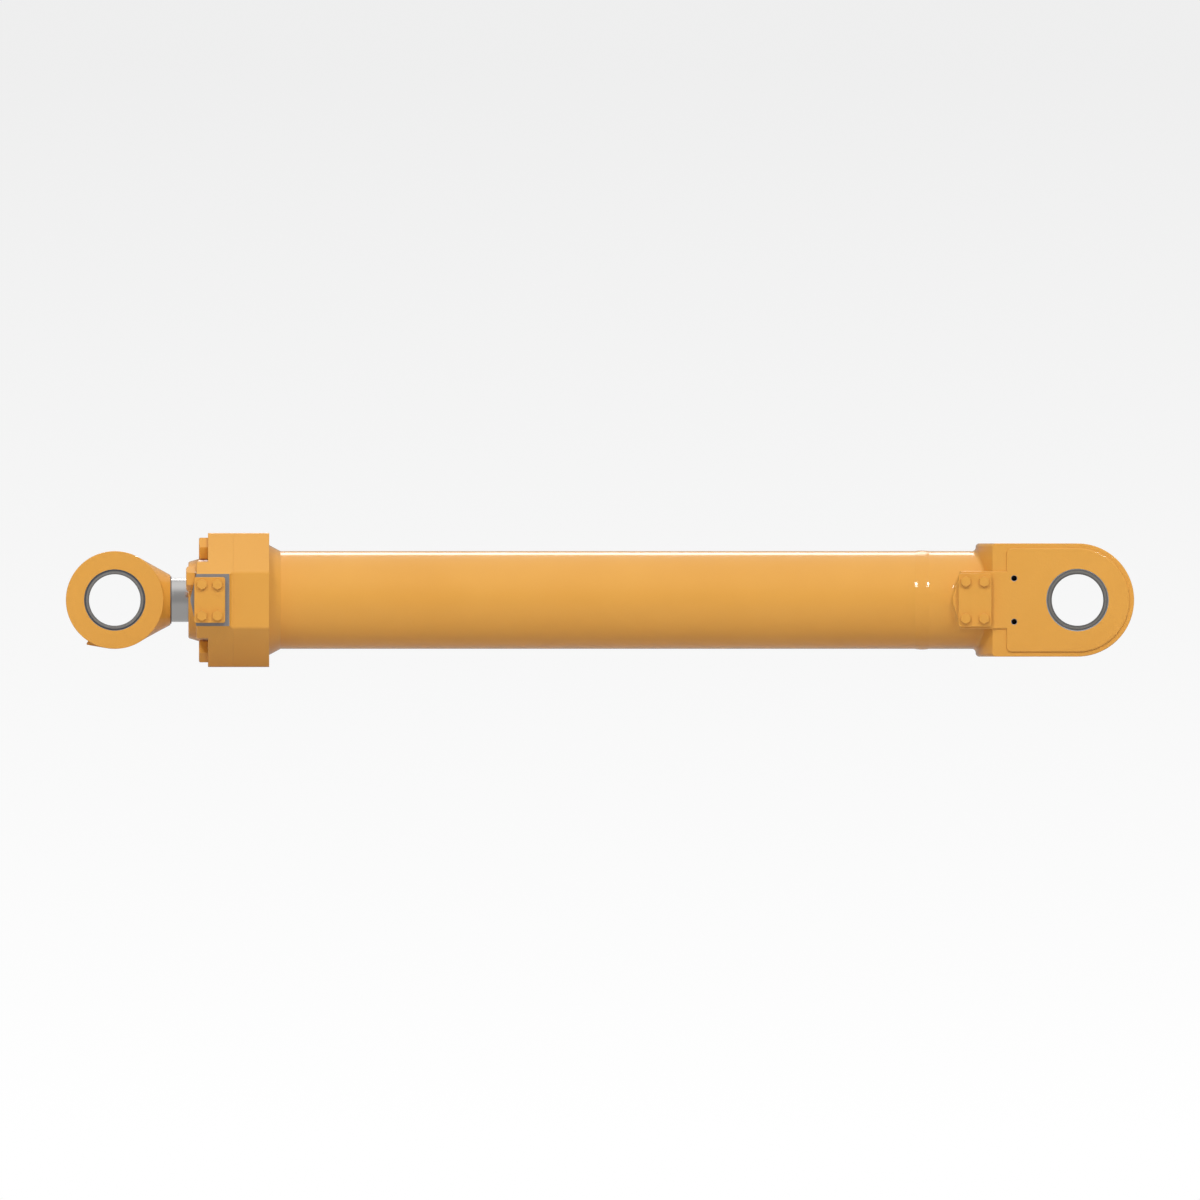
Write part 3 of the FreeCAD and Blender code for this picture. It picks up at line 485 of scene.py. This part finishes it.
PAINTED = {
    "barrel_tube": enamel("enamel_tube", 0.08, 1),
    "barrel_flange": enamel("enamel_flange", 0.25, 2),
    "base_weld": enamel("enamel_weld", 0.3, 3),
    # The base end's bare mouths take the light bluish steel, partly a painted highlight.
    "base_end": enamel("enamel_base", 0.5, 4, base_bare, BARE_STEEL_AND_HIGHLIGHT),
    "head_gland": enamel("enamel_gland", 0.5, 5, past("Y", HEAD_FACE_Y + 0.0002, -1)),
    "rod_eye": enamel("enamel_eye", 0.5, 6, within((EYE_X, 0, EYE_MOUTH_R))),
    "head_port_cover": enamel("enamel_cover", 0.08, 7),
    "base_port_cover": enamel("enamel_cover_base", 0.08, 8),
    "head_bolts": enamel("enamel_bolts", 0.1, 9),
}
for twin in ("head_bolt_long", "head_port_bolts", "base_port_bolts"):
    PAINTED[twin] = PAINTED["head_bolts"]

BASE_SEAL = dust_seal("dust_seal_base", BASE_X, (0.0532, 0.0568),
                      (0.13, 0.13, 0.13), (0.18, 0.17, 0.155), (0.12, 0.115, 0.11))
# The eye seal's outer rim is dark and bluish, darker than its rubber: painted shade at the bore's mouth.
EYE_SEAL_AND_SHADE = dust_seal("dust_seal_eye_and_shade", EYE_X, (0.0508, 0.0557),
                     (0.075, 0.083, 0.095), (0.20, 0.19, 0.18), (0.15, 0.14, 0.135))
ONE_OFF = {
    "base_dust_seal_front": BASE_SEAL,
    "base_dust_seal_rear": BASE_SEAL,
    "rod_eye_dust_seal_front": EYE_SEAL_AND_SHADE,
    "rod_eye_dust_seal_rear": EYE_SEAL_AND_SHADE,
    "rod_eye_weld": turned_steel("weld_scale", (0.16, 0.16, 0.17), 0.5, metallic=0.2),
}

BY_SLOT = {
    "machined_steel": turned_steel("machined_steel", (0.42, 0.42, 0.42), 0.32, (1, 0.05, 0.05)),
    "chrome_rod": hard_chrome(),
    "bush_steel": turned_steel("bush_steel", (0.30, 0.29, 0.28), 0.38),
    "bush_bronze": turned_steel("bush_bronze", (0.62, 0.38, 0.16), 0.35, (1, 0.05, 0.05)),
    "piston_iron": turned_steel("piston_iron", (0.20, 0.20, 0.21), 0.5, (1, 0.05, 0.05)),
    "black_steel": turned_steel("black_steel", (0.045, 0.045, 0.05), 0.45, metallic=0.6),
    "seal_rubber": soft_part("seal_rubber", (0.018, 0.018, 0.018), 0.55),
    "seal_polyurethane": soft_part("seal_polyurethane", (0.03, 0.06, 0.13), 0.4),
    "guide_resin": soft_part("guide_resin", (0.16, 0.09, 0.045), 0.6),
}

slot_of = {part["node"]: part["material_slot"] for part in frame["record"]["subparts"]}


def material_for(name):
    return PAINTED.get(name) or ONE_OFF.get(name) or BY_SLOT[slot_of[name]]


# ---- added pieces ----------------------------------------------------------------------------


def grid_mesh(name, rows, columns, point):
    """A mesh of quads between the points point(row, column), whose columns wrap round."""
    corners = [point(i, j) for i in range(rows) for j in range(columns)]
    faces = []
    for i in range(rows - 1):
        for j in range(columns):
            this_row, next_row = i * columns, (i + 1) * columns
            after = (j + 1) % columns
            faces.append((this_row + j, next_row + j, next_row + after, this_row + after))
    mesh = bpy.data.meshes.new(name)
    mesh.from_pydata(corners, [], faces)
    mesh.shade_smooth()
    return mesh


def add_piece(mesh, body, material):
    mesh.materials.append(material)
    piece = bpy.data.objects.new(mesh.name, mesh)
    bpy.context.scene.collection.objects.link(piece)
    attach(piece, body)
    return piece


RIPPLE_PITCH = 0.0052
RIPPLE_DEPTH = 0.00015
RIPPLE_LAG = 0.6
BEAD_ROWS = 15
BEAD_STEPS = 10


def weld_bead(tube_r):
    """The girth weld between tube and base end, a low bead of crescent ripples."""
    low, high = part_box("base_weld")
    middle, half = (low.x + high.x) / 2, (high.x - low.x) / 2
    crown = (high.z - low.z) / 2
    ripples = round(2 * math.pi * tube_r / RIPPLE_PITCH)
    columns = ripples * BEAD_STEPS

    def point(row, column):
        across = 2 * row / (BEAD_ROWS - 1) - 1
        turn = 2 * math.pi * column / columns
        swell = 1 - across * across
        phase = ripples * turn + 2 * math.pi * RIPPLE_LAG * across * across
        dip = RIPPLE_DEPTH * swell * (0.5 + 0.5 * math.cos(phase))
        r = tube_r + (crown - tube_r) * swell - dip
        return (middle + half * across, r * math.sin(turn), r * math.cos(turn))

    bead = grid_mesh("weld_bead", BEAD_ROWS, columns, point)
    piece = add_piece(bead, "barrel", PAINTED["base_weld"])
    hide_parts("base_weld")


THREAD_PITCH = 0.00175
THREAD_DEPTH = 0.0007
THREAD_LENGTH = 0.0235
THREAD_ROWS_PER_TURN = 8
THREAD_COLUMNS = 48
THREAD_GAP = 0.00001
DRILL_TIP_R = 0.0001


def hole_thread(name, z, material):
    """The thread and the drilled end of one tapped hole beside the base bore. Its dark material and the
    cone that closes the end are painted shade for the depth of the hole.
    """
    rows = round(THREAD_LENGTH / THREAD_PITCH * THREAD_ROWS_PER_TURN)

    def point(row, column):
        turn = 2 * math.pi * column / THREAD_COLUMNS
        height = row / THREAD_ROWS_PER_TURN
        saw = abs(2 * ((height - column / THREAD_COLUMNS) % 1) - 1)
        r = TAPPED_R - THREAD_GAP - THREAD_DEPTH * saw
        # The last row closes the hole in a dark cone: painted shade over the hole's lit bottom.
        if row == rows - 1:
            r = DRILL_TIP_R
        y = TAPPED["pos_m"][1] + height * THREAD_PITCH
        return (TAPPED_X + r * math.cos(turn), y, z + r * math.sin(turn))

    thread = grid_mesh(name, rows, THREAD_COLUMNS, point)
    add_piece(thread, "barrel", material)


TUBE_LOW, TUBE_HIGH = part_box("barrel_tube")
weld_bead((TUBE_HIGH.z - TUBE_LOW.z) / 2)
# Thread steel darkened well below its own tone: painted shade inside the tapped holes.
THREAD_AND_PAINTED_SHADE = turned_steel("thread_and_painted_shade", (0.10, 0.10, 0.10), 0.4)
hole_thread("hole_thread_upper", TAPPED_Z, THREAD_AND_PAINTED_SHADE)
hole_thread("hole_thread_lower", -TAPPED_Z, THREAD_AND_PAINTED_SHADE)

for name, node in nodes.items():
    node.data.materials.clear()
    node.data.materials.append(material_for(name))
